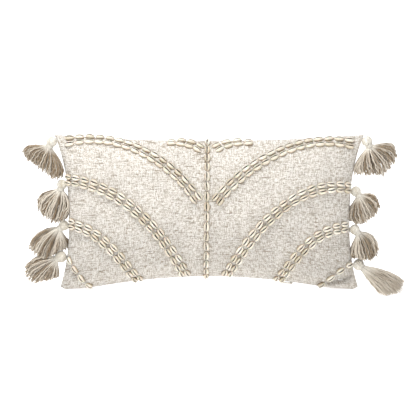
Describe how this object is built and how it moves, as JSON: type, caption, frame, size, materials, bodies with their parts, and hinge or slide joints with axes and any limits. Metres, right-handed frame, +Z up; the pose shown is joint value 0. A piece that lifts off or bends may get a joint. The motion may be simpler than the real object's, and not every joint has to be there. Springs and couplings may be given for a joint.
{
  "type": "throw pillow",
  "caption": "Lumbar throw pillow standing on its corners, with curved bands of sewn cowrie shells on the front and yarn tassels down both sides.",
  "frame": {"origin": "on the floor plane under the middle of the pillow, in the plane of its seam", "axes": "+X to the right of the shell side as it faces you, +Y from the shell side to the plain back, +Z up from the floor"},
  "size_m": [0.7154, 0.1371, 0.295],
  "materials": {
    "cover_cloth": "coarse slubby plain weave, cream with grey-beige slubs",
    "ticking": "plain white ticking",
    "filling": "loose white polyester fibre",
    "zip_tape": "woven tape, off-white",
    "zip_coil": "nylon coil, off-white",
    "zip_metal": "satin nickel",
    "cowrie": "natural shell, cream, soft shine",
    "head_yarn": "off-white soft yarn wound into a ball",
    "skirt_yarn": "beige-grey cotton yarn ends",
    "loop_thread": "off-white sewing thread"
  },
  "bodies": {
    "cover": {"front_panel": "cover_cloth", "back_panel": "cover_cloth", "insert_front": "ticking", "insert_back": "ticking", "filling": "filling", "zip_tape_front": "zip_tape", "zip_tape_back": "zip_tape", "zip_coil_front": "zip_coil", "zip_coil_back": "zip_coil", "zip_top_stop": "zip_metal", "zip_bottom_stop": "zip_metal", "shells_centre": "cowrie", "shells_crown_left": "cowrie", "shells_crown_right": "cowrie", "shells_upper_left": "cowrie", "shells_upper_right": "cowrie", "shells_middle_left": "cowrie", "shells_middle_right": "cowrie", "shells_lower_left": "cowrie", "shells_lower_right": "cowrie", "shells_corner_left": "cowrie", "shells_corner_right": "cowrie"},
    "zip_slider": {"zip_slider": "zip_metal"},
    "zip_pull": {"zip_pull": "zip_metal"},
    "loop_left_1": {"loop_left_1": "loop_thread"},
    "tassel_left_1": {"head_left_1": "head_yarn", "binding_left_1": "head_yarn", "skirt_left_1": "skirt_yarn"},
    "loop_left_2": {"loop_left_2": "loop_thread"},
    "tassel_left_2": {"head_left_2": "head_yarn", "binding_left_2": "head_yarn", "skirt_left_2": "skirt_yarn"},
    "loop_left_3": {"loop_left_3": "loop_thread"},
    "tassel_left_3": {"head_left_3": "head_yarn", "binding_left_3": "head_yarn", "skirt_left_3": "skirt_yarn"},
    "loop_left_4": {"loop_left_4": "loop_thread"},
    "tassel_left_4": {"head_left_4": "head_yarn", "binding_left_4": "head_yarn", "skirt_left_4": "skirt_yarn"},
    "loop_right_1": {"loop_right_1": "loop_thread"},
    "tassel_right_1": {"head_right_1": "head_yarn", "binding_right_1": "head_yarn", "skirt_right_1": "skirt_yarn"},
    "loop_right_2": {"loop_right_2": "loop_thread"},
    "tassel_right_2": {"head_right_2": "head_yarn", "binding_right_2": "head_yarn", "skirt_right_2": "skirt_yarn"},
    "loop_right_3": {"loop_right_3": "loop_thread"},
    "tassel_right_3": {"head_right_3": "head_yarn", "binding_right_3": "head_yarn", "skirt_right_3": "skirt_yarn"},
    "loop_right_4": {"loop_right_4": "loop_thread"},
    "tassel_right_4": {"head_right_4": "head_yarn", "binding_right_4": "head_yarn", "skirt_right_4": "skirt_yarn"}
  },
  "joints": [
    {"name": "zip_slide", "type": "hinge", "parent": "cover", "child": "zip_slider", "pos_m": [0, 0, -1.12652], "axis": [0, -1, 0], "range_deg": [0, 15.7]},
    {"name": "pull_hinge", "type": "hinge", "parent": "zip_slider", "child": "zip_pull", "pos_m": [0.15764, 0, 0.01052], "axis": [0, 1, 0], "range_deg": [-27, 0]},
    {"name": "swing_left_1", "type": "hinge", "parent": "cover", "child": "loop_left_1", "pos_m": [-0.28985, 0, 0.284], "axis": [0, 1, 0], "range_deg": [0, 40]},
    {"name": "sway_left_1", "type": "hinge", "parent": "loop_left_1", "child": "tassel_left_1", "pos_m": [-0.28985, 0, 0.284], "axis": [-0.8746, 0, 0.4848], "range_deg": [-35, 35]},
    {"name": "swing_left_2", "type": "hinge", "parent": "cover", "child": "loop_left_2", "pos_m": [-0.27194, 0, 0.204], "axis": [0, 1, 0], "range_deg": [0, 40]},
    {"name": "sway_left_2", "type": "hinge", "parent": "loop_left_2", "child": "tassel_left_2", "pos_m": [-0.27194, 0, 0.204], "axis": [-0.9511, 0, 0.309], "range_deg": [-35, 35]},
    {"name": "swing_left_3", "type": "hinge", "parent": "cover", "child": "loop_left_3", "pos_m": [-0.2698, 0, 0.124], "axis": [0, 1, 0], "range_deg": [0, 14]},
    {"name": "sway_left_3", "type": "hinge", "parent": "loop_left_3", "child": "tassel_left_3", "pos_m": [-0.2698, 0, 0.124], "axis": [-0.6428, 0, 0.766], "range_deg": [-35, 35]},
    {"name": "swing_left_4", "type": "hinge", "parent": "cover", "child": "loop_left_4", "pos_m": [-0.27518, 0, 0.063], "axis": [0, 1, 0], "range_deg": [0, 11]},
    {"name": "sway_left_4", "type": "hinge", "parent": "loop_left_4", "child": "tassel_left_4", "pos_m": [-0.27518, 0, 0.063], "axis": [-0.454, 0, 0.891], "range_deg": [-35, 35]},
    {"name": "swing_right_1", "type": "hinge", "parent": "cover", "child": "loop_right_1", "pos_m": [0.29022, 0, 0.285], "axis": [0, -1, 0], "range_deg": [0, 40]},
    {"name": "sway_right_1", "type": "hinge", "parent": "loop_right_1", "child": "tassel_right_1", "pos_m": [0.29022, 0, 0.285], "axis": [-0.8829, 0, -0.4695], "range_deg": [-35, 35]},
    {"name": "swing_right_2", "type": "hinge", "parent": "cover", "child": "loop_right_2", "pos_m": [0.27078, 0, 0.19], "axis": [0, -1, 0], "range_deg": [0, 36]},
    {"name": "sway_right_2", "type": "hinge", "parent": "loop_right_2", "child": "tassel_right_2", "pos_m": [0.27078, 0, 0.19], "axis": [-0.7986, 0, -0.6018], "range_deg": [-35, 35]},
    {"name": "swing_right_3", "type": "hinge", "parent": "cover", "child": "loop_right_3", "pos_m": [0.27003, 0, 0.116], "axis": [0, -1, 0], "range_deg": [0, 36]},
    {"name": "sway_right_3", "type": "hinge", "parent": "loop_right_3", "child": "tassel_right_3", "pos_m": [0.27003, 0, 0.116], "axis": [-0.7071, 0, -0.7071], "range_deg": [-35, 35]},
    {"name": "swing_right_4", "type": "hinge", "parent": "cover", "child": "loop_right_4", "pos_m": [0.27817, 0, 0.0475], "axis": [0, -1, 0], "range_deg": [0, 22]},
    {"name": "sway_right_4", "type": "hinge", "parent": "loop_right_4", "child": "tassel_right_4", "pos_m": [0.27817, 0, 0.0475], "axis": [-0.5548, 0, -0.832], "range_deg": [0, 25]}
  ]
}
